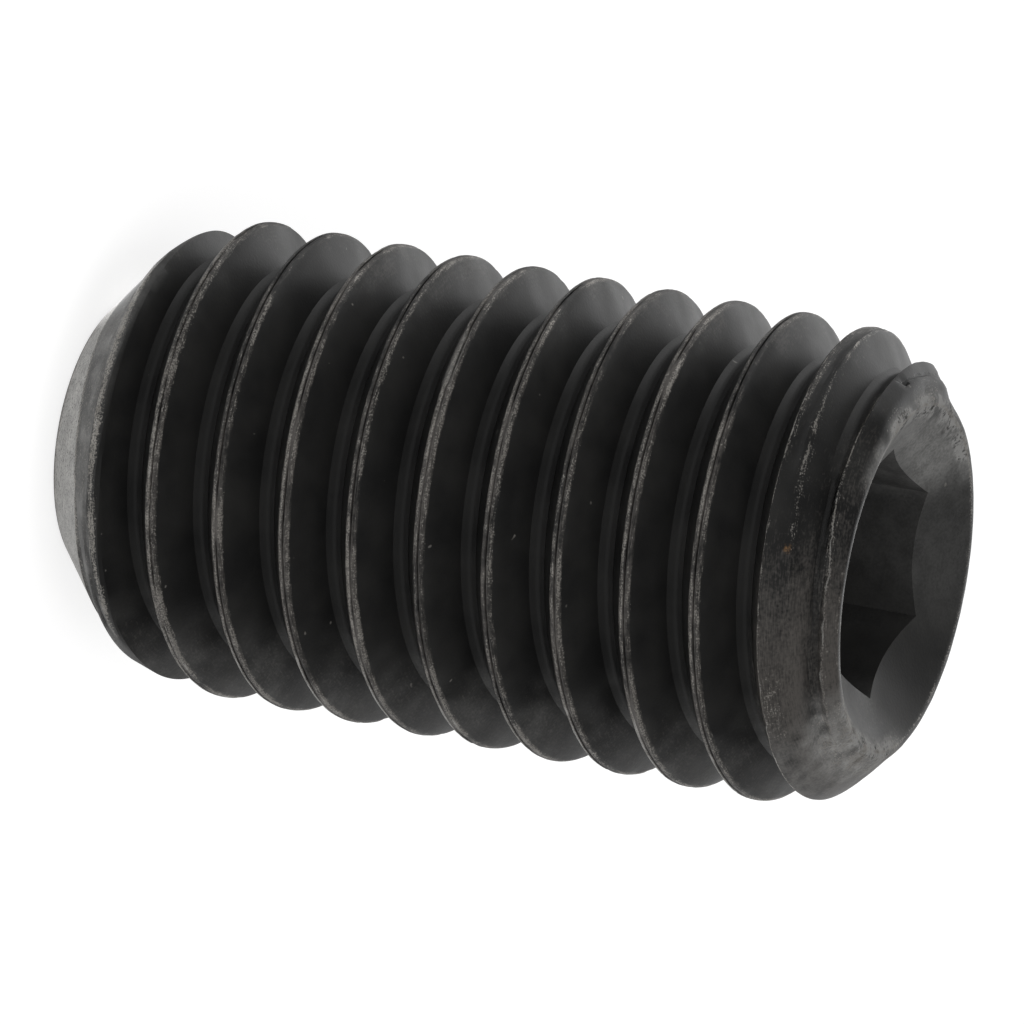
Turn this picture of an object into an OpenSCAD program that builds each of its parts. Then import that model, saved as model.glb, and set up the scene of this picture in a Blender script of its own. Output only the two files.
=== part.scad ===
// Socket set screw with a cup point: one solid, axis on Z, cup rim on Z = 0, socket at the top

/* [Thread] */
// Major diameter as made, over the crests
major_d = 9.92; // [9.5:0.02:10]
// Depth of the thread, from the crests down to its root
thread_depth = 0.88; // [0.75:0.01:0.95]
// Pitch, the rise of the right-hand thread in one turn
pitch = 1.5; // [1.35:0.05:1.6]
// Angle between the two flanks of the thread
flank_angle = 60; // [55:1:62]
// Width of the flat on top of a crest
crest_flat = 0.22; // [0.1:0.01:0.36]
// Angle about the axis at which a crest crosses the plane Z = 0
thread_phase = 228; // [0:1:359]

/* [Length] */
// Length over all
screw_length = 17.85; // [14:0.05:30]

/* [Cup point] */
// Outer diameter of the cup rim
cup_d = 5.78; // [4.5:0.02:6.4]
// Width of the flat land on the cup rim
cup_land = 0.2; // [0.1:0.05:0.5]
// Included angle of the hollow cone inside the cup
cup_angle = 120; // [100:5:140]
// Slope of the point's outside, away from the axis
point_slope = 47; // [40:1:55]
// Diameter at which the turned point meets the thread
point_top_d = 9.16; // [8.6:0.02:9.3]
// Height over which the first crest grows from there to its full diameter
lead_in = 1.2; // [0.5:0.05:3]

/* [Socket end] */
// Outer diameter of the flat rim round the socket
rim_d = 7.4; // [7.2:0.02:8.2]
// Slope of the chamfer at the rim, down from the flat
chamfer_slope = 45; // [35:1:55]
// Height from the last full crest to the rim
end_round = 2.3; // [1.2:0.1:3]

/* [Socket] */
// Width of the hexagon across its flats
hex_af = 4.5; // [3.5:0.1:5]
// Depth of the hexagon's walls, from the rim
hex_depth = 6; // [3:0.1:7.5]
// Angle of the hexagon's first corner about the axis
hex_turn = 14; // [0:1:59]
// Diameter of the countersink's mouth
sink_d = 7.08; // [6.6:0.02:7.2]
// Included angle of the countersink
sink_angle = 120; // [100:5:130]
// Included angle of the cone at the bottom of the socket
floor_angle = 120; // [100:5:150]

/* [Hidden] */

// Flat steps in one turn of the thread
turn_steps = 36;
// Flat steps along the rounding at the socket end
round_steps = 8;
// How far the rounding follows the crests, as a share of its height
crest_pull = 0.6;
// How far it follows the chamfer, as a share of its width
chamfer_pull = 0.75;
// How far a cutting shape runs past the face that it cuts
spare = 0.5;

major_r = major_d / 2;
root_r = major_r - thread_depth;
cup_r = cup_d / 2;
point_top_r = point_top_d / 2;
rim_r = rim_d / 2;
point_h = (point_top_r - cup_r) / tan(point_slope);
full_z = point_h + lead_in;
round_z = screw_length - end_round;

// The flanks meet at this radius when they are drawn on past the crest
sharp_r = major_r + crest_flat / 2 / tan(flank_angle / 2);
// Radius below the root at which two neighbouring turns would meet
meet_r = sharp_r - pitch / 2 / tan(flank_angle / 2);
// The ridge starts inside the core, half way to where its turns would meet
ridge_in = (root_r + meet_r) / 2;
// The ridge ends past the crest, and the outline cuts it back to its flat
ridge_out = (major_r + sharp_r) / 2;

// Half the ridge's width at a radius
function half_width(r) = (sharp_r - r) * tan(flank_angle / 2);

// Height of the crest's middle at an angle in degrees, counted on over all turns
function crest_z(a) = pitch * (a - thread_phase) / 360;

// The thread is drawn past both ends, from below the rim to above it
first_step = floor(turn_steps * (thread_phase / 360 - 1));
last_step = ceil(turn_steps * (thread_phase / 360 + screw_length / pitch + 1));

// The ridge's four corners at one step, from its inside bottom round to its inside top
function ridge_ring(i) = let (a = 360 * i / turn_steps, z = crest_z(a))
    [for (c = [[ridge_in, -1], [ridge_out, -1], [ridge_out, 1], [ridge_in, 1]])
        [c[0] * cos(a), c[0] * sin(a), z + c[1] * half_width(c[0])]];

module ridge() {
    rings = last_step - first_step;
    polyhedron(
        points = [for (i = [first_step:last_step]) each ridge_ring(i)],
        faces = concat(
            [[3, 2, 1, 0]],
            [for (i = [0:rings - 1], k = [0:3]) each [
                [4 * i + k, 4 * i + (k + 1) % 4, 4 * (i + 1) + k],
                [4 * i + (k + 1) % 4, 4 * (i + 1) + (k + 1) % 4, 4 * (i + 1) + k]]],
            [[for (k = [0:3]) 4 * rings + k]]
        )
    );
}

// A smooth curve through four control points, for the rounding at the socket end
function curve(p, t) = pow(1 - t, 3) * p[0] + 3 * pow(1 - t, 2) * t * p[1]
    + 3 * (1 - t) * t * t * p[2] + pow(t, 3) * p[3];

// The rounding leaves the crests along the axis and comes to the rim along the chamfer
chamfer_w = chamfer_pull * (major_r - rim_r);
round_pull = [
    [major_r, round_z],
    [major_r, round_z + crest_pull * end_round],
    [rim_r + chamfer_w, screw_length - chamfer_w * tan(chamfer_slope)],
    [rim_r, screw_length]
];

// Half the outline of the bar that the thread is made on, without socket and cup
function outline() = concat(
    [[0, 0], [cup_r, 0], [point_top_r, point_h], [major_r, full_z]],
    [for (i = [0:round_steps]) curve(round_pull, i / round_steps)],
    [[0, screw_length]]
);

module threaded_bar() {
    intersection() {
        rotate_extrude($fn = 96) polygon(outline());
        union() {
            translate([0, 0, -spare]) cylinder(r = root_r, h = screw_length + 2 * spare, $fn = 96);
            ridge();
        }
    }
}

module socket() {
    hex_r = hex_af / 2 / cos(30);
    sink_r = sink_d / 2;
    translate([0, 0, screw_length - hex_depth]) rotate(hex_turn)
        cylinder(r = hex_r, h = hex_depth + spare, $fn = 6);
    // The countersink, drawn on past the rim at the same slope
    sink_h = sink_r / tan(sink_angle / 2);
    translate([0, 0, screw_length - sink_h])
        cylinder(r1 = 0, r2 = sink_r + spare * tan(sink_angle / 2), h = sink_h + spare, $fn = 96);
    // The cone that the punch leaves below the hexagon's walls
    floor_r = hex_af / 2;
    floor_h = floor_r / tan(floor_angle / 2);
    translate([0, 0, screw_length - hex_depth - floor_h])
        cylinder(r1 = 0, r2 = floor_r, h = floor_h, $fn = 96);
}

module cup() {
    hollow_r = cup_r - cup_land;
    hollow_h = hollow_r / tan(cup_angle / 2);
    translate([0, 0, -spare])
        cylinder(r1 = hollow_r + spare * tan(cup_angle / 2), r2 = 0, h = hollow_h + spare, $fn = 96);
}

module set_screw() {
    color("#3b3a38") difference() {
        threaded_bar();
        socket();
        cup();
    }
}

set_screw();
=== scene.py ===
# %% [markdown]
# A socket set screw is a short bar of steel that is threaded from end to end. It has no head: a
# hexagon socket is sunk into one end, and the other end is turned to a point with a small cup in
# it. This lesson dresses the plain imported model of the screw for the camera: a true helical thread,
# a rolled seam along its crests, worn edges, and the thin black finish that such screws leave the
# factory with.
#
# Everything is in metres, in the frame of the imported model: the axis is Z, the rim of the cup
# stands on the floor at Z = 0 and the socket looks up. The imported model is loaded first.

# %% Load the frame
import math

import bpy
import numpy as np
from mathutils import Matrix, Vector, noise


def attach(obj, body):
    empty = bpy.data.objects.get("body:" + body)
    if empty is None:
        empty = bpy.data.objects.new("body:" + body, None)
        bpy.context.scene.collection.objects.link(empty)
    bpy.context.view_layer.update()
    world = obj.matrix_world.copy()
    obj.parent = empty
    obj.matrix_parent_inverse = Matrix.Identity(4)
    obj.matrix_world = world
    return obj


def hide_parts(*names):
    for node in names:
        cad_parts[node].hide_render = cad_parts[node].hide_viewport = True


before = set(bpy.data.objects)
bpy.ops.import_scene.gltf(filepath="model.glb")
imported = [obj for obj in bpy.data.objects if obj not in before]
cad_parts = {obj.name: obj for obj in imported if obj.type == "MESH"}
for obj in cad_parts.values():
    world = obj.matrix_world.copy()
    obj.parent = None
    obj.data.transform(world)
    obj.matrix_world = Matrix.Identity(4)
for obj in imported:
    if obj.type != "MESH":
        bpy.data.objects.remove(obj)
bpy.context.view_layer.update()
scene = bpy.context.scene
bpy.ops.object.select_all(action="DESELECT")

# %% [markdown]
# The camera comes first, because every later choice is judged through it. The photograph was taken
# with a long lens from a little above the socket's end, and the camera was turned on its side, so
# the screw lies across the picture. The screw could be laid down instead, but then it would leave
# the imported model's frame. A camera that is rolled about its own line of sight gives the same
# picture and leaves the screw on its feet.

# %% Camera
MM = 0.001
CAMERA_PLACE = Vector((0.1 * MM, -156.54 * MM, 73.01 * MM))
CAMERA_ABOVE = math.radians(22.2)
CAMERA_ROLL = math.radians(100.3)
CAMERA_LENS = 289.14

camera_data = bpy.data.cameras.new("camera")
camera_data.sensor_fit = "HORIZONTAL"
camera_data.sensor_width = 36.0
camera_data.lens = CAMERA_LENS
camera_data.clip_start = 5 * MM
camera_data.clip_end = 10.0
camera = bpy.data.objects.new("camera", camera_data)
scene.collection.objects.link(camera)
look_along_y = Matrix.Rotation(math.pi / 2 - CAMERA_ABOVE, 4, "X")
rolled = Matrix.Rotation(CAMERA_ROLL, 4, "Z")
camera.matrix_world = Matrix.Translation(CAMERA_PLACE) @ look_along_y @ rolled
scene.camera = camera
print("camera stands", round(CAMERA_PLACE.length / MM), "mm away")

# %% [markdown]
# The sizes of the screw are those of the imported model. Each is written once, in the cell that first
# needs it, and every shape is worked out from them. A thread is told by its radius over the crests
# and at the root, its pitch, the small flat on the crest, the slope of its flanks, and the angle at
# which the crest crosses the floor.

# %% Sizes of the thread
LENGTH = 17.85 * MM
MAJOR_R = 4.96 * MM
ROOT_R = 4.08 * MM
PITCH = 1.5 * MM
CREST_FLAT = 0.22 * MM
HALF_FLANK = math.radians(30)
THREAD_PHASE = math.radians(228)
sharp_r = MAJOR_R + CREST_FLAT / 2 / math.tan(HALF_FLANK)
print("the flanks would meet at radius", round(sharp_r / MM, 3), "mm")

# %% [markdown]
# Modelling by hand in Blender is a chain of small operators. These helpers keep that chain short:
# one selects a single object, and one draws a line through points, as a maker does who extrudes one
# vertex again and again. A curve object would draw the same line, but it would have to be turned
# into a mesh before it can be spun.

# %% Helpers that select and draw
def only(obj):
    """Selects one object and makes it active."""
    bpy.ops.object.select_all(action="DESELECT")
    obj.select_set(True)
    bpy.context.view_layer.objects.active = obj


def draw_chain(name, points):
    """A chain of edges through points, drawn by extruding one vertex from point to point."""
    bpy.ops.object.select_all(action="DESELECT")
    bpy.ops.mesh.primitive_plane_add(size=MM, location=(0, 0, 0))
    obj = bpy.context.active_object
    obj.name = name
    bpy.ops.object.mode_set(mode="EDIT")
    bpy.ops.mesh.select_all(action="SELECT")
    bpy.ops.mesh.merge(type="CENTER")
    bpy.ops.transform.translate(value=points[0])
    for here, there in zip(points, points[1:]):
        step = [b - a for a, b in zip(here, there)]
        bpy.ops.mesh.extrude_region_move(TRANSFORM_OT_translate={"value": step})
    bpy.ops.object.mode_set(mode="OBJECT")
    print(obj.name, "starts as a chain of", len(obj.data.edges), "edges")
    return obj


# %% [markdown]
# The thread is one short section, drawn over a single pitch. Each turn will join the one below,
# because the section ends exactly one pitch above its start. A rolled thread isn't cut: two dies
# press it up from the bar, and the metal meets at the crest in a fine seam between two lips. The
# seam could be a dark line in the material, but drawn in the section it catches the light twice.

# %% Section of the thread
SEAM_HALF = 0.02 * MM
SEAM_DEPTH = 0.05 * MM


def thread_section():
    """Half the section from the middle of the crest to the middle of the root, then mirrored."""
    lip = CREST_FLAT / 2
    crest = [
        (MAJOR_R - SEAM_DEPTH, 0.0),
        (MAJOR_R - 0.55 * SEAM_DEPTH, SEAM_HALF * 0.6),
        (MAJOR_R - 0.1 * SEAM_DEPTH, SEAM_HALF),
        (MAJOR_R, SEAM_HALF * 1.8),
        (MAJOR_R - 0.010 * MM, lip * 0.66),
        (MAJOR_R - 0.035 * MM, lip * 0.98),
        (MAJOR_R - 0.085 * MM, lip + 0.035 * MM),
    ]
    root_half = PITCH / 2 - (sharp_r - ROOT_R) * math.tan(HALF_FLANK)
    root_round = root_half * 0.9
    flank_top, flank_low = crest[-1][0], ROOT_R + root_round * 0.5
    flank = []
    for share in (0.12, 0.3, 0.55, 0.8, 1.0):
        r = flank_top + (flank_low - flank_top) * share
        flank.append((r, (sharp_r - r) * math.tan(HALF_FLANK)))
    root = [(ROOT_R + 0.012 * MM, PITCH / 2 - root_half * 0.45), (ROOT_R, PITCH / 2)]
    high = crest + flank + root
    low = [(r, -z) for r, z in high[::-1]]
    return [(r, 0.0, z) for r, z in low + high[1:]]


thread = draw_chain("set_screw_body", thread_section())

# %% [markdown]
# The Screw modifier carries the section round the axis and lifts it by one pitch in each turn. A
# stack of copied rings would look alike from far off, but it would have no helix. More turns are
# made than the screw has, and both ends are cut off later.

# %% Carry the section round the axis
TURN_STEPS = 240
TURNS = 15


def apply_modifier(obj, kind, **settings):
    """Adds a modifier with its settings and applies it."""
    only(obj)
    modifier = obj.modifiers.new(kind.lower(), kind)
    for key, value in settings.items():
        setattr(modifier, key, value)
    bpy.ops.object.modifier_apply(modifier=modifier.name)


apply_modifier(
    thread, "SCREW", axis="Z", angle=math.tau, screw_offset=PITCH, iterations=TURNS,
    steps=TURN_STEPS, render_steps=TURN_STEPS,
)
first_crest = -PITCH * (THREAD_PHASE / math.tau + 1)
only(thread)
bpy.ops.transform.translate(value=(0, 0, first_crest))
bpy.ops.object.transform_apply(location=True, rotation=True, scale=True)
print("the thread has", len(thread.data.polygons), "faces before its ends are closed")

# %% [markdown]
# The thread is still an open tube, and a boolean needs a closed one. Each end is closed as by hand:
# its border is selected, extruded and merged to a single point, which leaves a fan of triangles.
# The fans lie well past the two ends of the screw, so nothing of them is seen.

# %% Close the two ends, past where they are cut off
bpy.ops.object.mode_set(mode="EDIT")
bpy.ops.mesh.select_mode(type="VERT")
bpy.ops.mesh.select_all(action="SELECT")
bpy.ops.mesh.remove_doubles(threshold=0.001 * MM)
middle = first_crest + TURNS * PITCH / 2
for low_end in (True, False):
    bpy.ops.mesh.select_all(action="SELECT")
    bpy.ops.mesh.region_to_loop()
    bpy.ops.object.mode_set(mode="OBJECT")
    chosen = 0
    for v in thread.data.vertices:
        if v.select and (v.co.z < middle) != low_end:
            v.select = False
    for e in thread.data.edges:
        a, b = (thread.data.vertices[i] for i in e.vertices)
        e.select = e.select and a.select and b.select
        chosen += e.select
    for f in thread.data.polygons:
        f.select = False
    bpy.ops.object.mode_set(mode="EDIT")
    bpy.ops.mesh.extrude_edges_move()
    bpy.ops.mesh.merge(type="CENTER")
    print("closed one end with a fan of", chosen, "edges")
bpy.ops.mesh.select_all(action="SELECT")
bpy.ops.mesh.normals_make_consistent(inside=False)
bpy.ops.object.mode_set(mode="OBJECT")

# %% [markdown]
# The bar that the thread is rolled on was turned first. At the socket's end it is rounded, so the
# last turns come out as flat bands that grow wider and wider. One smooth curve from the last full
# crest to the chamfer gives that shape, where a chain of bevels would leave rings.

# %% Rounding at the socket's end
RIM_R = 3.70 * MM
END_ROUND = 2.3 * MM
CHAMFER_SLOPE = math.radians(45)
CREST_PULL = 0.6
CHAMFER_PULL = 0.75
ROUND_POINTS = 35


def curve(p, t):
    """A point of the smooth curve with four control points."""
    return tuple(
        (1 - t) ** 3 * a + 3 * (1 - t) ** 2 * t * b + 3 * (1 - t) * t * t * c + t ** 3 * d
        for a, b, c, d in zip(*p)
    )


def shoulder_points():
    """Radius and height along the rounding from the last crests to the rim."""
    round_z = LENGTH - END_ROUND
    chamfer = CHAMFER_PULL * (MAJOR_R - RIM_R)
    pull = [
        (MAJOR_R, round_z), (MAJOR_R, round_z + CREST_PULL * END_ROUND),
        (RIM_R + chamfer, LENGTH - chamfer * math.tan(CHAMFER_SLOPE)), (RIM_R, LENGTH),
    ]
    return [curve(pull, t) for t in np.linspace(0, 1, ROUND_POINTS)]


shoulder = shoulder_points()
print("the rounding has", len(shoulder), "points")

# %% [markdown]
# No corner of a turned part is quite sharp. The Bevel modifier could round the corners afterwards,
# but the outline is a simple line, so each corner is rounded in that line before it is spun.

# %% Helpers for the outline
def arc_corner(before, corner, after, radius, steps=4):
    """Points of a small round in place of a corner."""
    c = Vector(corner)
    a = c + (Vector(before) - c).normalized() * radius
    b = c + (Vector(after) - c).normalized() * radius
    return [tuple((a.lerp(c, t)).lerp(c.lerp(b, t), t)) for t in np.linspace(0, 1, steps + 1)]


def steps_between(a, b, length):
    """Points from a to b, about one length apart, without the last."""
    count = max(1, round(math.dist(a, b) / length))
    return [tuple(Vector(a).lerp(Vector(b), i / count)) for i in range(count)]


print("a right angle is rounded by", len(arc_corner((1, 0), (0, 0), (0, 1), 0.5)), "points")

# %% [markdown]
# The outline runs from the hollow of the cup, over its narrow land, up the turned cone of the
# point, along the bar, round the shoulder and down into the wide countersink. In the middle it is a
# little wider than the crests, so that nothing is shaved off them there.

# %% Outline of the turned bar
CUP_R = 2.89 * MM
CUP_LAND = 0.2 * MM
POINT_TOP_R = 4.58 * MM
POINT_SLOPE = math.radians(47)
LEAD_IN = 1.2 * MM
SINK_R = 3.54 * MM
CONE_HALF = math.radians(60)
CLEAR_R = MAJOR_R + 0.4 * MM
RING_STEP = 0.1 * MM
SINK_RINGS = 10


def bar_outline():
    """Radius, 0 and height from the bottom of the cup round the outside to the countersink."""
    hollow_r = CUP_R - CUP_LAND
    cup_top, inner, outer = (0.0, hollow_r / math.tan(CONE_HALF)), (hollow_r, 0.0), (CUP_R, 0.0)
    point_h = (POINT_TOP_R - CUP_R) / math.tan(POINT_SLOPE)
    top, full = (POINT_TOP_R, point_h), (MAJOR_R, point_h + LEAD_IN)
    wide = (CLEAR_R, point_h + LEAD_IN + 1.2 * MM)
    rim, sink = (RIM_R, LENGTH), (SINK_R, LENGTH)
    sink_bottom = (0.0, LENGTH - SINK_R / math.tan(CONE_HALF))
    rim_corner = arc_corner(inner, outer, top, 0.05 * MM)
    top_corner = arc_corner(outer, top, full, 0.12 * MM)
    sink_corner = arc_corner(rim, sink, sink_bottom, 0.08 * MM)
    points = [cup_top] + arc_corner(cup_top, inner, outer, 0.05 * MM)
    points += rim_corner[:-1] + steps_between(rim_corner[-1], top_corner[0], RING_STEP)
    points += top_corner[:-1] + steps_between(top_corner[-1], full, RING_STEP)
    points += [full, wide, (CLEAR_R, LENGTH - END_ROUND - 1.0 * MM)]
    points += shoulder[:-1] + arc_corner(shoulder[-2], rim, sink, 0.07 * MM)
    sink_steps = steps_between(sink_corner[-1], sink_bottom, 1.3 * RING_STEP)
    points += sink_corner[:-1] + sink_steps[:SINK_RINGS] + [sink_bottom]
    return [(r, 0.0, z) for r, z in points]


bar = draw_chain("turned_bar", bar_outline())

# %% [markdown]
# A lathe turns the bar against a still tool. Spin does the same with the outline. Its last ring
# falls on the first one, so the doubled points are merged, and the faces are then turned outwards.

# %% Spin the bar
SPIN_STEPS = 240
bpy.ops.object.mode_set(mode="EDIT")
bpy.ops.mesh.select_all(action="SELECT")
bpy.ops.mesh.spin(steps=SPIN_STEPS, angle=math.tau, center=(0, 0, 0), axis=(0, 0, 1))
bpy.ops.mesh.select_all(action="SELECT")
bpy.ops.mesh.remove_doubles(threshold=0.0005 * MM)
bpy.ops.mesh.normals_make_consistent(inside=False)
bpy.ops.object.mode_set(mode="OBJECT")
print("the turned bar has", len(bar.data.polygons), "faces")

# %% [markdown]
# What the thread and the bar have in common is the screw. The ends could be shaped point by point
# instead, but a boolean gives the true lines where the cone and the rounding cut through the turns,
# and those uneven bands are what makes a threaded end look real.

# %% Keep what the thread and the bar have in common
def cut(obj, tool, operation):
    """Applies an exact boolean and throws the tool away."""
    apply_modifier(obj, "BOOLEAN", object=tool, operation=operation, solver="EXACT")
    bpy.data.objects.remove(tool, do_unlink=True)
    print(obj.name, "after", operation.lower(), "has", len(obj.data.polygons), "faces")


cut(thread, bar, "INTERSECT")

# %% [markdown]
# The socket is a hexagonal hole with straight walls that a punch drives into the bar, and its floor
# is a shallow point. Where the flat walls run into the countersink they meet it in six scallops.
# They come by themselves when a hexagonal prism is cut out of the cone, so none is drawn.

# %% Cut the hexagon socket
HEX_AF = 4.5 * MM
HEX_DEPTH = 6.0 * MM
HEX_TURN = math.radians(14)
punch_floor = LENGTH - HEX_DEPTH
bpy.ops.object.select_all(action="DESELECT")
bpy.ops.mesh.primitive_cylinder_add(
    vertices=6, radius=HEX_AF / 2 / math.cos(math.radians(30)), depth=HEX_DEPTH + MM,
    end_fill_type="TRIFAN", location=(0, 0, LENGTH - HEX_DEPTH / 2 + MM / 2),
)
punch = bpy.context.active_object
punch.name = "hexagon_punch"
# A cylinder's first corner lies on Y, and the socket's first corner is counted from X
punch.rotation_euler = (0, 0, HEX_TURN - math.pi / 2)
bpy.ops.object.transform_apply(location=True, rotation=True, scale=True)
for v in punch.data.vertices:
    if v.co.to_2d().length < 0.01 * MM and v.co.z < punch_floor + 0.1 * MM:
        v.co.z -= HEX_AF / 2 / math.tan(CONE_HALF)
cut(thread, punch, "DIFFERENCE")

# %% [markdown]
# Booleans leave a few points that lie on top of each other, and now and then they lose a small
# face. The points are merged and the holes filled now, because the wear that follows moves every
# point by its own place, and a doubled point would open a crack.

# %% Merge what the cuts left doubled
only(thread)
bpy.ops.object.mode_set(mode="EDIT")
bpy.ops.mesh.select_all(action="SELECT")
bpy.ops.mesh.remove_doubles(threshold=0.0015 * MM)
bpy.ops.mesh.dissolve_degenerate(threshold=0.0005 * MM)
bpy.ops.mesh.select_all(action="SELECT")
bpy.ops.mesh.fill_holes(sides=8)
bpy.ops.mesh.select_all(action="SELECT")
bpy.ops.mesh.normals_make_consistent(inside=False)
bpy.ops.object.mode_set(mode="OBJECT")
print("merged mesh has", len(thread.data.vertices), "points")

# %% [markdown]
# A place on a thread is best told by two lengths: how far along the helix it is, and how far to the
# side of the crest. Plain X, Y and Z would do for a single dent, but a seam or a worn lip follows
# the helix all the way up, and in these two lengths it is a straight line.

# %% Places along and across the thread
mesh = thread.data
place = np.empty(len(mesh.vertices) * 3)
mesh.vertices.foreach_get("co", place)
place = place.reshape(-1, 3)
radius = np.hypot(place[:, 0], place[:, 1])
angle = np.arctan2(place[:, 1], place[:, 0]) % math.tau
turn_angle = np.degrees(angle)
turns = place[:, 2] / PITCH - (angle - THREAD_PHASE) / math.tau
turn = np.round(turns)
unrolled = turn_angle + 360 * turn
across = (turns - turn) * PITCH
along = (angle + math.tau * turn) * MAJOR_R
across_mm, height_mm = across / MM, place[:, 2] / MM
print("the crest runs for", round(float(along.max() - along.min()) / MM), "mm")

# %% [markdown]
# Nothing on a used screw is even, so every mark is broken up by noise. A texture node could do that
# for the colour alone, but here the noise also moves points, so it is worked out for each point. On
# the crests it is drawn out along the helix, as rolling and rubbing draw out their marks.

# %% Five kinds of noise
def rough(points, size, seed):
    """Smooth noise from -1 to 1 at each point, with features of about one size."""
    shift = Vector((seed * 7.31, seed * 3.17, seed * 5.73))
    return np.array([noise.noise(Vector(p) / size + shift) for p in points])


DRAWN_OUT = 3
helix = np.stack([along, across * DRAWN_OUT, np.zeros_like(along)], axis=1)
stretch = rough(helix, 3.1 * MM, 1)
patchy = rough(helix, 1.1 * MM, 2)
ragged = rough(helix, 0.35 * MM, 3)
lumpy = rough(place, 0.45 * MM, 4)
gritty = rough(place, 0.22 * MM, 5)
print("the longest noise runs from", round(stretch.min(), 2), "to", round(stretch.max(), 2))

# %% [markdown]
# The ends, the rim and the sides of a used screw wear in their own ways. Each such zone is a share
# from 0 to 1, told by height, by radius or by the side it faces. It rises softly at its border, so
# it never looks cut out, and two shares that are multiplied leave only what they have in common.

# %% Helpers that tell a zone
def ramp(x, low, high):
    """Rises smoothly from 0 at low to 1 at high."""
    t = np.clip((x - low) / (high - low), 0, 1)
    return t * t * (3 - 2 * t)


def above(low, high):
    """1 above a height and 0 below it, in millimetres."""
    return ramp(height_mm, low, high)


def outside(low, high):
    """1 outside a radius and 0 inside it, in millimetres."""
    return ramp(radius, low * MM, high * MM)


def toward(degrees, low, high):
    """1 on one side of the screw and 0 on the other, by the cosine of the angle between them."""
    return ramp(np.cos(angle - math.radians(degrees)), low, high)


print("the socket's end holds", round(100 * float(above(16.9, 17.3).mean())), "% of the points")

# %% [markdown]
# The marks of this one screw are told by the turn of the thread and by angles in that turn, in
# degrees, and by how far they reach to each side of the crest, in millimetres. They could be
# painted by hand, but marks that are written down come out the same each time.

# %% Helpers that place a mark
FIRST, SECOND, PATCHED, LAST_FULL, LAST = 1, 2, 6, 11, 12
FAR = 9.0


def mark(number, start, end, fade, low=-FAR, high=FAR, side_fade=0.03):
    """1 on a stretch of one turn, between two distances from its crest, and 0 elsewhere."""
    here = unrolled - 360 * number
    lengthwise = ramp(here, start - fade, start) * (1 - ramp(here, end, end + fade))
    sideways = ramp(across_mm, low - side_fade, low)
    return lengthwise * sideways * (1 - ramp(across_mm, high, high + side_fade))


def spot(x, y, z, reach):
    """1 at a place of the screw, in millimetres, and 0 from a distance on."""
    away = np.linalg.norm(place / MM - np.array([x, y, z]), axis=1)
    return 1 - ramp(away, 0, reach)


print("the first turn holds", int((mark(FIRST, 0, 360, 1) > 0.5).sum()), "points")

# %% [markdown]
# The two lips of the rolled seam are never even. They wander, sink and swell by a few hundredths of
# a millimetre, and the seam closes on some stretches. A Displace modifier only pushes along the
# normals, and a lip also shifts to the side, so two moves are gathered for each point: one away
# from the axis and one along it.

# %% Uneven seam and lips
near_crest = ramp(radius, MAJOR_R - 0.12 * MM, MAJOR_R - 0.05 * MM)
near_crest *= ramp(CREST_FLAT * 0.75 - np.abs(across), 0, CREST_FLAT * 0.2)
in_seam = near_crest * (1 - ramp(np.abs(across_mm), 0.008, 0.03))
closed = ramp(patchy + 0.6 * stretch, -0.1, 0.5)
radial = near_crest * (patchy * 0.012 + np.minimum(0, ragged + 0.2) * 0.035) * MM
radial += in_seam * closed * 0.8 * SEAM_DEPTH
axial = near_crest * (stretch * 0.02 + ragged * 0.008) * MM
print("the lips move by up to", round(float(np.abs(radial).max()) / MM, 3), "mm")

# %% [markdown]
# The first and the last turns are rougher, because there the bar gives the dies too little metal to
# fill the crest. The first crest is a raised ridge beside a shallow gutter, and the last full one
# is pressed flat and torn. A knock has left a flat spot on a crest half way up. All of them lie
# along one turn, so one helper places them all.

# %% Ridge, flat spot and torn crests
RAISED = (FIRST, 225, 318, 25)
on_band = outside(4.5, 4.6)
flat_patch = mark(PATCHED, 229, 243, 2, -0.17, 0.03, 0.04)
first_ridge = mark(*RAISED, -0.04, 0.16, 0.14)
gutter = mark(FIRST, 225, 325, 15, -0.2, -0.14, 0.08)
pressed_crest = on_band * mark(LAST_FULL, 185, 243, 12, -0.06, 0.06, 0.12)
rough_patch = on_band * mark(LAST_FULL, 303, 318, 6, -0.3, 0.1, 0.1)
notch = on_band * mark(LAST_FULL, 312, 315.5, 0.8, -0.2, 0.02, 0.03)
radial -= flat_patch * 0.05 * MM
radial += first_ridge * (0.11 + 0.02 * ragged) * MM
radial -= gutter * 0.04 * MM
radial -= pressed_crest * 0.07 * MM
radial -= rough_patch * (0.02 + 0.035 * np.abs(gritty)) * MM
radial -= notch * 0.05 * MM
print("the ridge holds", int((first_ridge > 0.5).sum()), "points")

# %% [markdown]
# Near the rim the last turn ends in a blunt lump with two short cracks beside it, and a fine line
# between them. A crack is a dent as wide as it is deep, so a bell-shaped dip along a line is
# enough.

# %% Blunt end of the thread and its cracks
CRACK_REACH = 0.16
CRACK_ANGLES = [168, 171, 184, 198, 202, 205]
CRACK_HEIGHTS = [17.38, 17.47, 17.5, 17.46, 17.47, 17.38]


def bell(off, width):
    """1 at no distance, and near 0 from twice the width on."""
    return np.exp(-((off / width) ** 2))


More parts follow.
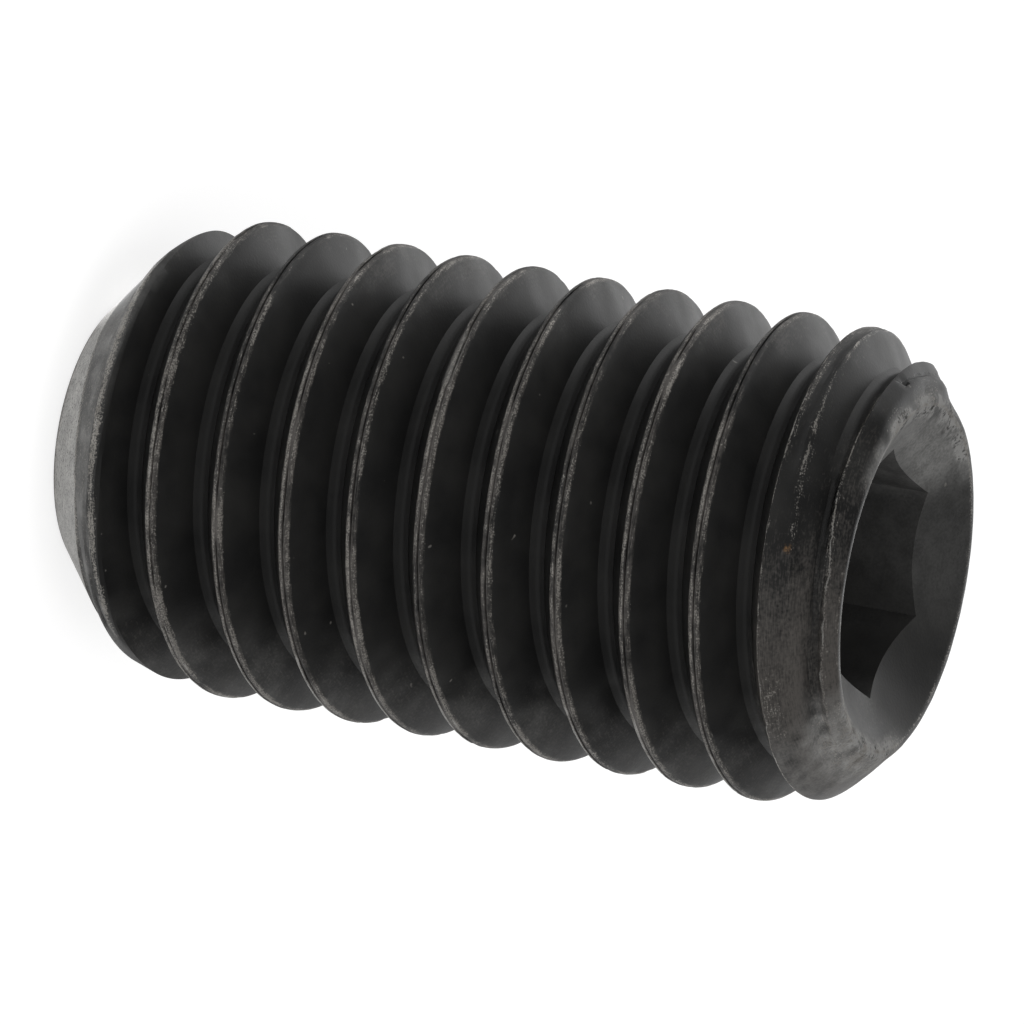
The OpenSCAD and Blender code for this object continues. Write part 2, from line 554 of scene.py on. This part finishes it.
full_end = mark(LAST, 174, 220, 14, -0.5, 0.3, 0.2) * outside(3.72, 3.95)
radial += full_end * 0.09 * MM
axial += full_end * 0.11 * MM
cracks = np.maximum(spot(-3.81, -1.50, 17.47, CRACK_REACH), spot(-4.02, 0.64, 17.49, CRACK_REACH))
crack_z = np.interp(turn_angle, CRACK_ANGLES, CRACK_HEIGHTS)
crack_side = ramp(turn_angle, 167, 170) * (1 - ramp(turn_angle, 203, 206))
crack_line = crack_side * outside(3.8, 3.9) * bell(height_mm - crack_z, 0.05)
radial -= (cracks * 0.09 + crack_line * 0.06) * MM
print("the cracks hold", int((cracks > 0.5).sum()), "points")

# %% [markdown]
# On the side that faces the camera the thread runs on a little into the chamfer, as a late shallow
# groove with a thin raised line above it. It isn't a full turn any more, so it is pressed into the
# finished rounding instead of being part of the section.

# %% Late groove in the chamfer
LINE_ANGLES = [230, 250, 270, 290, 345]
LINE_HEIGHTS = [17.35, 17.47, 17.6, 17.62, 17.6]
line_z = np.interp(turn_angle, LINE_ANGLES, LINE_HEIGHTS)
late = ramp(turn_angle, 235, 255) * (1 - ramp(turn_angle, 325, 345)) * outside(3.72, 3.8)
late_groove = late * ramp(height_mm, line_z - 0.34, line_z - 0.2)
late_groove *= 1 - ramp(height_mm, line_z - 0.08, line_z)
late_line = late * bell(height_mm - line_z - 0.01, 0.05)
radial -= late_groove * 0.13 * MM
axial -= late_groove * 0.05 * MM
radial += late_line * (0.02 + 0.02 * ragged) * MM
print("the groove holds", int((late_groove > 0.5).sum()), "points")

# %% [markdown]
# The rim round the socket is where a set screw suffers most: keys slip on it and it knocks against
# other screws in the box. It is finely lumpy all round, torn on one side, and pressed in a little
# across from there. Then all the moves that were gathered are made at once, and no point may leave
# the screw's full radius or length.

# %% Rough rim, then move the points
end_face = above(16.9, 17.3) * outside(3.5, 3.65)
torn = np.maximum(spot(-3.5, -0.4, 17.85, 1.1), spot(-3.3, 1.0, 17.8, 0.9))
torn_depth = 0.02 + 0.07 * np.abs(gritty) + 0.03 * lumpy
radial += end_face * (lumpy * 0.014 + gritty * 0.008) * MM
axial -= torn * outside(3.4, 3.55) * torn_depth * MM
radial -= spot(3.6, -0.9, 17.7, 1.5) * 0.05 * MM
unit = place[:, :2] / np.maximum(radius, 1e-9)[:, None]
place[:, :2] += unit * np.minimum(radial, MAJOR_R - radius)[:, None]
place[:, 2] = np.minimum(place[:, 2] + axial, LENGTH)
mesh.vertices.foreach_set("co", place.ravel())
mesh.update()
print("points move by up to", round(float(np.abs(radial).max()) / MM, 3), "mm")

# %% [markdown]
# Where the finish has been rubbed through is kept as an attribute of the mesh, so the material can
# read it anywhere: 0 is whole black oxide, 1 is bare steel. Worn edges are often found in a
# material by the bend of the surface, but that can't tell a lip that was handled from one that
# wasn't. So wear is told by place: first the two lips of the crests, more on the side that faces
# down in the camera's view. The extra bare steel on that lower side is a painted highlight, laid
# where light grazes the lips from below.

# %% Wear on the lips of the crests
def most(*shares):
    """The largest of several shares at each point."""
    return np.maximum.reduce(shares)


low_lip = near_crest * ramp(-across_mm, 0.01, 0.035) * (1 - ramp(-across_mm, 0.1, 0.14))
high_lip = near_crest * ramp(across_mm, 0.02, 0.05) * (1 - ramp(across_mm, 0.1, 0.14))
# Painted light from below: this share adds bare steel, brown and grey on the lower side of the screw.
painted_light_below = toward(-8, 0.75, 0.98)
low_share = np.clip(0.48 + 0.5 * stretch + 0.35 * ragged + 0.45 * painted_light_below, 0, 1)
high_share = np.clip(0.42 + 0.55 * patchy + 0.25 * ragged + 0.25 * painted_light_below, 0, 1)
second = mark(SECOND, 200, 330, 25) * near_crest
ridge_top = mark(*RAISED, -0.01, 0.12, 0.05)
wear = low_lip * low_share + high_lip * high_share
wear = most(wear, second * (0.42 + 0.2 * patchy), ridge_top * (0.76 + 0.25 * ragged))
print("worn share of the points after the lips", round(float((wear > 0.5).mean()), 3))

# %% [markdown]
# On this screw the cone of the point is bright steel nearly up to the first crest, and the oxide
# thins out above it. One height all round would draw a perfect circle, and the real border climbs
# on the side where the thread begins, so its height is given by the angle.

# %% Bare cone of the point
CONE_ANGLES = [0, 180, 236, 291, 340, 360]
CONE_TOPS = [0.9, 0.42, 0.52, 1.1, 1.0, 0.9]
cone_top = np.interp(turn_angle, CONE_ANGLES, CONE_TOPS)
cone = above(0.0, 0.05) * (1 - ramp(height_mm, cone_top, cone_top + 0.15 + 0.05 * ragged))
cone *= ramp(radius, CUP_R - 0.15 * MM, CUP_R)
run_in = (1 - above(1.45, 1.9)) * ramp(radius, CUP_R, CUP_R + 0.1 * MM)
run_in *= 1 - 0.85 * toward(190, 0.7, 0.98)
wear = most(wear, 0.95 * cone, 0.3 * run_in)
print("worn share of the points with the cone", round(float((wear > 0.5).mean()), 3))

# %% [markdown]
# Where the rounding cuts through a crest it leaves a corner, and the finish wears off it first.
# Such a corner lies where the outline of the bar and the flank have the same radius. The difference
# of the two radii is kept, because the material will draw a crisp line from it later.

# %% Worn corners of the last turns
shoulder_line = np.array(shoulder)
outline_r = np.interp(place[:, 2], shoulder_line[:, 1], shoulder_line[:, 0], left=CLEAR_R)
off_edge = outline_r - (sharp_r - np.abs(across) / math.tan(HALF_FLANK))
# Painted highlight: the worn corners get more bare steel on the lower side of the screw.
low_edge = (across < 0) * np.clip(0.66 + 0.5 * ragged + 0.2 * patchy + 0.25 * painted_light_below, 0, 0.9)
high_edge = (across > 0) * np.clip(0.5 + 0.5 * ragged + 0.2 * patchy, 0, 0.8)
high_edge *= 1 - ramp(unrolled - 360 * LAST_FULL, 250, 280)
edge_share = above(15.4, 15.8) * outside(3.9, 4.1) * (low_edge + high_edge)
late_share = late * np.clip(0.82 + 0.6 * ragged, 0, 0.95)
crack_share = crack_side * outside(3.7, 3.8) * (0.75 + 0.25 * ramp(np.abs(turn_angle - 187), 8, 13))
wear = most(wear, 0.55 * edge_share * bell(off_edge, 0.1 * MM), 0.5 * late_share * late_line)
wear = most(wear, rough_patch * (0.3 + 0.5 * gritty))
print("worn share of the points with the corners", round(float((wear > 0.5).mean()), 3))

# %% [markdown]
# The rim has two worn circles, one at its inner and one at its outer corner. They are brightest on
# the lower side of the view, where a whole patch has gone bare, and at the torn corner. That lower
# brightness is partly real wear and partly painted light from below.

# %% Worn rim round the socket
upper = toward(187, math.cos(math.radians(62)), math.cos(math.radians(34)))
# Painted light from below: the lower side of the rim and chamfer is worn brighter, partly as real
# wear.
lower = toward(-12, math.cos(math.radians(42)), math.cos(math.radians(15)))
rim = above(17.45, 17.65)
rim_in = rim * (1 - ramp(np.abs(radius / MM - 3.56), 0.02, 0.08))
rim_out = rim * (1 - ramp(np.abs(radius / MM - 3.70), 0.02, 0.08))
rim_in *= np.clip(0.5 + 0.35 * lumpy + 0.25 * lower + 0.2 * upper, 0, 1)
rim_out *= np.clip(0.2 + 0.4 * lumpy + 0.35 * lower, 0, 1)
bottom_end = lower * above(17.1, 17.6) * outside(3.2, 3.45)
worn_corner = most(spot(-2.9, -2.1, 17.85, 0.8), 0.8 * spot(-3.6, -1.1, 17.8, 0.6))
worn_corner = most(worn_corner, torn * (0.8 + gritty)) * outside(3.3, 3.5)
wear = most(wear, rim_in, rim_out, bottom_end * np.clip(0.5 + 0.5 * lumpy, 0, 0.75))
wear = most(wear, 0.5 * worn_corner, 0.55 * (cracks > 0.05) * (cracks < 0.4), 0.36 * flat_patch)
wear = np.clip(wear, 0, 1)
print("worn share of the points in all", round(float((wear > 0.5).mean()), 3))

# %% [markdown]
# Before oxide is rubbed through it turns brownish and dull. A second attribute keeps how far that
# has gone: on the flat bands of the last turns and on all crests. The same brown is also painted
# light: it is laid thicker on the lower side of the bands and of the whole screw, thinner on top,
# and in blotches on the upper lobes as a painted sheen.

# %% Oxide rubbed to a brownish tone, with painted light in the same brown
crest_band = near_crest * (1 - ramp(np.abs(across_mm), 0.11, 0.15))
top_side = toward(180, 0.6, 0.95)
end_zone = above(15.9, 16.5) * outside(3.58, 3.68)
# Painted light: the brown on the flat bands, and its mottling, is laid thicker towards the lower side
# and thinner on top, over the real brown of the bands.
warm_end = end_zone * (0.13 + 0.7 * toward(-25, 0.1, 0.9))
warm_end += 0.22 * end_zone * above(16.9, 17.3) * (1 - top_side)
warm_end *= 1 - 0.6 * top_side
mottled = end_zone * (0.5 * lumpy + 0.6 * gritty) * (0.2 + 0.4 * painted_light_below)
# Painted sheen: blotches of brown on the upper lobes, where light grazes the top.
top_lobe_painted_sheen = top_side * outside(4.25, 4.8) * (across > 0)
rubbed_and_painted_light = crest_band * (0.68 + 0.3 * stretch + 0.4 * patchy + 0.3 * ragged)
# Painted light: the lower side of the whole screw gets a share of brown too.
rubbed_and_painted_light = most(rubbed_and_painted_light, 0.9 * warm_end + mottled, 0.6 * torn, 0.8 * flat_patch, 0.3 * painted_light_below)
rubbed_and_painted_light = most(rubbed_and_painted_light, top_lobe_painted_sheen * (0.3 + 0.35 * patchy + 0.35 * lumpy))
rubbed_and_painted_light = np.clip(rubbed_and_painted_light * (1 - 0.5 * late_groove), 0, 1)
print("browned share of the points", round(float((rubbed_and_painted_light > 0.5).mean()), 3))

# %% [markdown]
# In the countersink, on the rim and round the point the finish turns a lighter grey instead. It is
# soft and cloudy, with no bare specks, so a third attribute keeps it and the material can give it a
# look of its own. On the upper side of the countersink and rim, on the lower side of the screw and
# its chamfer and on the upper lobes this grey is also painted light, laid on where light falls.

# %% Grey tone round the socket, partly painted light
sink = (radius < 3.62 * MM) * above(16.85, 16.95)
greyed_and_painted_light = sink * (0.115 - 0.095 * toward(30, 0.4, 0.95))
# Painted light: the upper side of the countersink and of the rim is greyed more, lighter where light
# falls.
greyed_and_painted_light += sink * upper * (0.3 + 0.7 * above(16.9, 17.4)) * 0.5
top_rim = rim * upper * outside(3.24, 3.36) * (1 - outside(3.7, 3.84))
greyed_and_painted_light += top_rim * (0.75 + 0.9 * lumpy)
# Painted light from below: the lower rim, the bottom of the chamfer and the lower side of the screw
# are greyed more.
greyed_and_painted_light += 0.45 * lower * rim * outside(3.3, 3.42) * (1 - outside(3.66, 3.8))
greyed_and_painted_light += bottom_end * (0.45 + 0.12 * lumpy + 0.35 * gritty)
greyed_and_painted_light += 0.12 * painted_light_below * (0.7 + 1.3 * patchy + 0.9 * lumpy)
greyed_and_painted_light += 0.12 * end_zone * painted_light_below * (1 + 0.6 * lumpy + 1.5 * gritty)
greyed_and_painted_light += run_in * (0.38 + 0.3 * stretch + 0.3 * lumpy) * (1 - cone)
# Painted sheen: the upper lobes are greyed in blotches where light grazes the top.
greyed_and_painted_light += 0.14 * top_lobe_painted_sheen * np.clip(0.25 + 1.4 * patchy + 0.8 * lumpy, 0, 1)
dark_rough = 1.6 * (spot(-3.62, 0.1, 17.8, 0.7) + spot(-3.4, 1.2, 17.8, 0.7))
dark_rough = 0.85 * np.minimum(1, dark_rough) * ramp(gritty, -0.1, 0.1)
greyed_and_painted_light = np.clip(most(greyed_and_painted_light, flat_patch * 0.16) * (1 - dark_rough), 0, 1)
print("greyed share of the points", round(float((greyed_and_painted_light > 0.1).mean()), 3))

# %% [markdown]
# An attribute holds one number or three for each point. Each kind of wear is one number. The place
# on the helix is three, and so are the distances from three fine lines, the worn corner, the late
# groove and the crack, and the strength of each line.

# %% Keep the wear in the mesh
shares = {"wear": wear, "rubbed_and_painted_light": rubbed_and_painted_light, "greyed_and_painted_light": greyed_and_painted_light}
threes = {
    "helix": (along, across, radius),
    "from_lines": (off_edge, (height_mm - line_z) * MM, (height_mm - crack_z) * MM),
    "line_shares": (edge_share, late_share, crack_share),
}
for name, values in shares.items():
    mesh.attributes.new(name, "FLOAT", "POINT").data.foreach_set("value", values)
for name, values in threes.items():
    layer = mesh.attributes.new(name, "FLOAT_VECTOR", "POINT")
    layer.data.foreach_set("vector", np.stack(values, axis=1).ravel())
print("the mesh keeps", len(shares) + len(threes), "kinds of wear and place")

# %% [markdown]
# The small faces of a turned or rolled surface should look round, and its corners should stay
# crisp. Shading all of it smooth would smear the edge of the socket, so only faces that meet at
# less than an angle are shaded as one.

# %% Shade smooth, with sharp corners kept
SMOOTH_BELOW = math.radians(32)
only(thread)
bpy.ops.object.shade_smooth_by_angle(angle=SMOOTH_BELOW)
print("shaded smooth", sum(f.use_smooth for f in mesh.polygons), "faces")

# %% [markdown]
# Black oxide isn't paint: the steel's own surface is turned to magnetite, a micron deep, and oiled.
# So the finish is nearly black with a soft sheen, it shows every tool mark, and where it is rubbed
# the grey steel comes through as specks that join into lines on the edges. A picture could be
# wrapped round the screw for that, but noise in the material is as sharp from every distance. These
# helpers add nodes to whichever tree is being built.

# %% Helpers for building a material
oxide = bpy.data.materials.new("black_oxide")
oxide.use_nodes = True
tree = oxide.node_tree
shader = tree.nodes["Principled BSDF"]


def node(kind, **settings):
    """Adds a node with its settings."""
    made = tree.nodes.new(kind)
    for key, value in settings.items():
        setattr(made, key, value)
    return made


def link(a, b):
    """Draws a wire from an output to an input."""
    tree.links.new(a, b)


def remap(value, low, high, to_low=0.0, to_high=1.0):
    """Stretches a range of values to another and stops at its ends."""
    made = node("ShaderNodeMapRange")
    numbers = {"From Min": low, "From Max": high, "To Min": to_low, "To Max": to_high}
    for name, number in numbers.items():
        made.inputs[name].default_value = number
    link(value, made.inputs["Value"])
    return made.outputs["Result"]


def math_node(operation, a, b):
    """Works on two values, each a number or what another node gives."""
    made = node("ShaderNodeMath", operation=operation)
    for socket, value in zip(made.inputs, (a, b)):
        if isinstance(value, (int, float)):
            socket.default_value = value
        else:
            link(value, socket)
    return made.outputs[0]


print("the material starts with", len(tree.nodes), "nodes")

# %% [markdown]
# The material reads the wear from the mesh and breaks it up with five noises, from clouds of a
# millimetre down to a fine grain. One noise reads the place on the helix, drawn out along it, so
# its specks become the short streaks that rubbing leaves. The others read the object's own place.

# %% What the material reads
def attribute(name, output="Fac"):
    """What the mesh keeps under a name."""
    return node("ShaderNodeAttribute", attribute_name=name).outputs[output]


def noise_node(scale, detail, coords):
    """A noise of one fineness, from 0 to 1."""
    made = node("ShaderNodeTexNoise")
    made.inputs["Scale"].default_value = scale
    made.inputs["Detail"].default_value = detail
    link(coords, made.inputs["Vector"])
    return made.outputs["Fac"]


worn, dulled_and_painted_light, greyer = attribute("wear"), attribute("rubbed_and_painted_light"), attribute("greyed_and_painted_light")
coords = node("ShaderNodeTexCoord").outputs["Object"]
helix_place = node("ShaderNodeMapping")
helix_place.inputs["Scale"].default_value = (0.5, 6.0, 0.0)
link(attribute("helix", "Vector"), helix_place.inputs["Vector"])
streaks = noise_node(7000, 3, helix_place.outputs["Vector"])
fine = noise_node(26000, 2, coords)
grain = noise_node(16000, 3, coords)
patches = noise_node(2600, 4, coords)
cloud = noise_node(900, 5, coords)
print("noises of five sizes are ready")

# %% [markdown]
# A scratch or a worn corner is finer than the mesh. So the mesh only keeps how far each point is
# from such a line, which changes evenly over a face, and the material draws the line itself where
# that distance is near zero. A little noise in the distance makes the line wander.

# %% Fine lines drawn by their distance
line_place, line_share = node("ShaderNodeSeparateXYZ"), node("ShaderNodeSeparateXYZ")
link(attribute("from_lines", "Vector"), line_place.inputs["Vector"])
link(attribute("line_shares", "Vector"), line_share.inputs["Vector"])
wobble = math_node("MULTIPLY", math_node("SUBTRACT", patches, 0.5), 0.12 * MM)


def drawn_line(axis, inner, outer):
    """1 on a line and 0 beside it, with the widths in millimetres."""
    off = math_node("ABSOLUTE", math_node("ADD", line_place.outputs[axis], wobble), 0)
    on_line = remap(off, inner * MM, outer * MM, 1.0, 0.0)
    return math_node("MULTIPLY", on_line, line_share.outputs[axis])


worn = math_node("MAXIMUM", worn, drawn_line("X", 0.02, 0.055))
worn = math_node("MAXIMUM", worn, drawn_line("Y", 0.008, 0.026))
crack = drawn_line("Z", 0.012, 0.03)
print("three lines are drawn by", len(tree.nodes), "nodes so far")

# %% [markdown]
# Wear doesn't fade evenly from black to steel. The high spots of the surface go bare first, as
# bright specks, and they join as the wear goes on. Adding strong noise to the wear before it is cut
# off at a threshold gives that. The dull tone is broken up in the same way, more softly, and a few
# nicks are bare wherever one noise happens to peak.

# %% Bare steel comes through as specks
specks = math_node("ADD", math_node("MULTIPLY", streaks, 0.5), math_node("MULTIPLY", fine, 0.7))
bare = math_node("ADD", worn, math_node("MULTIPLY", math_node("SUBTRACT", specks, 0.6), 2.6))
bare = math_node("MULTIPLY", remap(bare, 0.45, 1.0), remap(worn, 0.0, 0.2))
nicks = remap(noise_node(4200, 1, coords), 0.79, 0.83)
bare = math_node("MAXIMUM", bare, math_node("MULTIPLY", nicks, 0.45))
ruffled = math_node("ADD", math_node("MULTIPLY", streaks, 0.6), math_node("MULTIPLY", grain, 0.5))
dull_and_painted_light = math_node("ADD", dulled_and_painted_light, math_node("MULTIPLY", math_node("SUBTRACT", ruffled, 0.55), 1.7))
dull_and_painted_light = math_node("MULTIPLY", remap(dull_and_painted_light, 0.3, 1.0), remap(dulled_and_painted_light, 0.0, 0.2))
print("bare steel and dull oxide take", len(tree.nodes), "nodes so far")

# %% [markdown]
# One tiny spot of rust sits on a flat band near the socket. It is a ball in space: what lies near
# its middle is brown, and the grain breaks its edge.

# %% Spot of rust
RUST_PLACE = (-0.16, -4.64, 16.92)
RUST_CORE, RUST_REACH = 0.03 * MM, 0.12 * MM


def distance(coords, point):
    """How far a place is from a point in millimetres."""
    away = node("ShaderNodeVectorMath", operation="DISTANCE")
    link(coords, away.inputs[0])
    away.inputs[1].default_value = Vector(point) * MM
    return away.outputs["Value"]


rust = remap(distance(coords, RUST_PLACE), RUST_CORE, RUST_REACH, 0.55, 0.0)
rust = math_node("MULTIPLY", rust, remap(grain, 0.4, 0.6))
print("the rust spot reaches", round(RUST_REACH / MM, 2), "mm")

# %% [markdown]
# The oxide is a near-black that wanders a little in brightness. Over it come the brown tone of
# rubbed oxide, the cloudy grey tone, the rust and painted shade in the crack, one mixed over the
# other as thin coats would lie. The brown and the grey are partly painted light. Where the grey is
# thick already its clouds are kept weaker, or it would look like sand.

# %% Colours of the oxide
OXIDE_DARK, OXIDE_LIGHT = (0.009, 0.009, 0.009), (0.0152, 0.0149, 0.0143)
RUBBED_OXIDE_AND_PAINTED_LIGHT = (0.055, 0.0505, 0.0465)
GREY_TONE_AND_PAINTED_LIGHT = (0.2, 0.198, 0.192)
RUST = (0.16, 0.085, 0.03)
# Painted shade: the crack is darkened where shade falls into it.
PAINTED_CRACK_SHADE = (0.004, 0.004, 0.004)


def blend_colour(share, a, b):
    """Mixes two colours, or a colour and what another node gives."""
    made = node("ShaderNodeMix", data_type="RGBA")
    link(share, made.inputs["Factor"])
    for name, value in (("A", a), ("B", b)):
        if isinstance(value, tuple):
            made.inputs[name].default_value = (*value, 1.0)
        else:
            link(value, made.inputs[name])
    return made.outputs["Result"]


oxide_colour = blend_colour(remap(cloud, 0.35, 0.7), OXIDE_DARK, OXIDE_LIGHT)
# Brown of rubbed oxide, partly painted light on the lower side and painted sheen on the upper lobes.
oxide_colour = blend_colour(dull_and_painted_light, oxide_colour, RUBBED_OXIDE_AND_PAINTED_LIGHT)
mottle = remap(math_node("ADD", patches, grain), 0.78, 1.22, -0.9, 0.9)
swing = math_node("MULTIPLY", mottle, remap(greyer, 0.6, 0.95, 0.3, 1.0))
grey_share = math_node("MULTIPLY", greyer, math_node("ADD", swing, 1.0))
# Light grey, partly painted light where light falls on the upper and lower sides.
oxide_colour = blend_colour(grey_share, oxide_colour, GREY_TONE_AND_PAINTED_LIGHT)
oxide_colour = blend_colour(rust, oxide_colour, RUST)
# Painted shade in the crack, over the bump that gives its depth.
oxide_colour = blend_colour(crack, oxide_colour, PAINTED_CRACK_SHADE)
print("the oxide is mixed from", len({OXIDE_DARK, OXIDE_LIGHT, RUBBED_OXIDE_AND_PAINTED_LIGHT, GREY_TONE_AND_PAINTED_LIGHT}), "tones")

# %% [markdown]
# On thin worn edges the steel is a warm grey, still stained by the finish. On the turned cone,
# where all of the oxide is gone, it is a clean light grey with fine streaks. It isn't quite a full
# metal, because a handled surface is never as clear as a polished one.

# %% Colours of the steel
EDGE_STEEL = (0.16, 0.147, 0.13), (0.38, 0.365, 0.34)
BRIGHT_STEEL = (0.26, 0.256, 0.248), (0.51, 0.5, 0.48)
METAL_SHARE = 0.8
edge_steel = blend_colour(patches, *EDGE_STEEL)
turned = math_node("ADD", math_node("MULTIPLY", patches, 0.5), math_node("MULTIPLY", streaks, 0.5))
bright_steel = blend_colour(remap(turned, 0.3, 0.7), *BRIGHT_STEEL)
steel_colour = blend_colour(remap(worn, 0.8, 0.93), edge_steel, bright_steel)
link(blend_colour(bare, oxide_colour, steel_colour), shader.inputs["Base Color"])
link(math_node("MULTIPLY", bare, METAL_SHARE), shader.inputs["Metallic"])
print("the steel has", len(EDGE_STEEL) + len(BRIGHT_STEEL), "tones")

# %% [markdown]
# Oiled oxide has a soft, cloudy sheen, and the grey bloom is duller. A very low bump gives the
# grain of the surface, the streaks on worn steel and the depth of the crack. All larger shapes are
# in the mesh, because a bump doesn't change an outline.

# %% Sheen and fine grain
OXIDE_SPECULAR = 0.25
BUMP_STRENGTH = 0.3
BUMP_HEIGHT = 0.01 * MM
CRACK_BUMP = 7.0
sheen = math_node("ADD", remap(cloud, 0.3, 0.75, 0.36, 0.5), math_node("MULTIPLY", greyer, 0.4))
link(sheen, shader.inputs["Roughness"])
shader.inputs["Specular IOR Level"].default_value = OXIDE_SPECULAR
bump = node("ShaderNodeBump")
bump.inputs["Strength"].default_value = BUMP_STRENGTH
bump.inputs["Distance"].default_value = BUMP_HEIGHT
relief = math_node("ADD", grain, math_node("MULTIPLY", streaks, worn))
relief = math_node("SUBTRACT", relief, math_node("MULTIPLY", crack, CRACK_BUMP))
link(relief, bump.inputs["Height"])
link(bump.outputs["Normal"], shader.inputs["Normal"])
print("the whole finish has", len(tree.nodes), "nodes")

# %% [markdown]
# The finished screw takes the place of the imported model's plain one. It has no moving parts, so it
# rides on the root, and its finish is named for what it is.

# %% Give the screw its finish and its place
mesh.materials.clear()
mesh.materials.append(oxide)
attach(thread, "root")
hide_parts("set_screw")
print(thread.name, "wears", mesh.materials[0].name)

# %% [markdown]
# The floor is a plain white sheet. White paint under strong lamps would do, but the screw would be
# flooded with light too. So the sheet is a quiet grey that glows, and only the camera sees the
# whole glow. It reads as white paper and still keeps the soft shadow of the screw.

# %% Floor
FLOOR_SIZE = 1.2
FLOOR_GREY = 0.37
bpy.ops.object.select_all(action="DESELECT")
bpy.ops.mesh.primitive_plane_add(size=FLOOR_SIZE, location=(0, 0, 0))
floor = bpy.context.active_object
floor.name = "floor"
paper = bpy.data.materials.new("white_paper")
paper.use_nodes = True
tree = paper.node_tree
floor_shader = tree.nodes["Principled BSDF"]
floor_shader.inputs["Base Color"].default_value = (FLOOR_GREY, FLOOR_GREY, FLOOR_GREY, 1)
floor_shader.inputs["Roughness"].default_value = 0.9
floor_shader.inputs["Specular IOR Level"].default_value = 0.0
floor_shader.inputs["Emission Color"].default_value = (1, 1, 1, 1)
floor.data.materials.append(paper)
print("the floor is", round(floor.dimensions.x, 2), "m wide")

# %% [markdown]
# A shiny dark thing shows mostly what it mirrors. In the photograph the screw mirrors a bright spot
# by its point and a far bright sheet, and little else. The floor's glow is therefore told apart by
# the kind of ray that asks: the camera sees all of it, soft light gets a fixed share, and mirror
# images see it bright only near the point and far behind.

# %% How bright the floor looks to each kind of ray
FLOOR_GLOW = 0.76
DIFFUSE_SHARE = 1.8
path = node("ShaderNodeLightPath")
floor_place = node("ShaderNodeTexCoord").outputs["Object"]
split = node("ShaderNodeSeparateXYZ")
link(floor_place, split.inputs["Vector"])


def near(point, inner, outer, at_inner, at_outer):
    """How bright the floor looks in reflections by its distance from a point."""
    return remap(distance(floor_place, point), inner * MM, outer * MM, at_inner, at_outer)


by_point = near((-3.2, -0.8, 0), 0.7, 2.0, 3.0, 0)
round_foot = near((0, 0, 0), 4.5, 7, 0.58, 0.12)
far_behind = remap(split.outputs["Y"], 30 * MM, 90 * MM, 0.15, 1.0)
mirrored = math_node("MAXIMUM", math_node("MAXIMUM", by_point, round_foot), far_behind)
seen = math_node("MAXIMUM", path.outputs["Is Camera Ray"], path.outputs["Is Transmission Ray"])
seen = math_node("MAXIMUM", seen, math_node("MULTIPLY", path.outputs["Is Glossy Ray"], mirrored))
diffuse = math_node("MULTIPLY", path.outputs["Is Diffuse Ray"], DIFFUSE_SHARE)
seen = math_node("MAXIMUM", seen, diffuse)
link(math_node("MULTIPLY", seen, FLOOR_GLOW), floor_shader.inputs["Emission Strength"])
print("the floor's paper has", len(tree.nodes), "nodes")

# %% [markdown]
# The world is white to the camera. For light it is a plain room, brighter behind and at the sides
# than overhead, as in a light tent that is open at the top. A picture of a studio could be used as
# the world, but two soft bright sides are all that this screw mirrors.

# %% World
ROOM_LIGHT = 0.5
world = bpy.data.worlds.new("studio")
scene.world = world
world.use_nodes = True
tree = world.node_tree
background = tree.nodes["Background"]
background.inputs["Color"].default_value = (1, 1, 1, 1)
path = node("ShaderNodeLightPath")
direction = node("ShaderNodeTexCoord").outputs["Generated"]


def facing(way, low, high, to_low, to_high):
    """How bright the room is by how far a direction turns to one way."""
    dot = node("ShaderNodeVectorMath", operation="DOT_PRODUCT")
    link(direction, dot.inputs[0])
    dot.inputs[1].default_value = Vector(way).normalized()
    return remap(dot.outputs["Value"], low, high, to_low, to_high)


def choose(switch, when_off, when_on):
    """One value where a switch is 0 and another where it is 1."""
    made = node("ShaderNodeMix", data_type="FLOAT")
    link(switch, made.inputs["Factor"])
    for name, value in (("A", when_off), ("B", when_on)):
        if isinstance(value, float):
            made.inputs[name].default_value = value
        else:
            link(value, made.inputs[name])
    return made.outputs["Result"]


white_side = facing((-0.3, 0.85, -0.45), 0.1, 0.85, 0.1, 0.95)
warm_side = facing((0.55, 0.8, 0.0), 0.65, 1.0, 0.0, 0.7)
room = math_node("MAXIMUM", white_side, warm_side)
unseen = choose(path.outputs["Is Glossy Ray"], ROOM_LIGHT, room)
seen = math_node("MAXIMUM", path.outputs["Is Camera Ray"], path.outputs["Is Transmission Ray"])
link(choose(seen, unseen, 1.0), background.inputs["Strength"])
print("the world has", len(tree.nodes), "nodes")

# %% [markdown]
# Three large soft lamps light the screw, weakly, because it is close to them: one at the side and
# one behind for the edges of the thread, and one in front that lifts the black out of the dark. The
# front lamp isn't mirrored, or the flanks would show it as a white patch.

# %% Lamps
def area_lamp(name, place, aim, size, power):
    """A soft square lamp that looks at a point."""
    lamp = bpy.data.lights.new(name, "AREA")
    lamp.size = size
    lamp.energy = power
    obj = bpy.data.objects.new(name, lamp)
    scene.collection.objects.link(obj)
    obj.location = place
    obj.rotation_euler = (Vector(aim) - Vector(place)).to_track_quat("-Z", "Y").to_euler()
    return obj


half_way_up = (0, 0, LENGTH / 2)
area_lamp("side_lamp", (-0.25, 0.06, 0.10), half_way_up, 0.2, 0.13)
area_lamp("back_lamp", (-0.08, 0.28, 0.14), half_way_up, 0.24, 0.15)
front = area_lamp("front_lamp", (0.05, -0.22, 0.24), half_way_up, 0.24, 0.6)
front.visible_glossy = False
scene.view_settings.view_transform = "Standard"
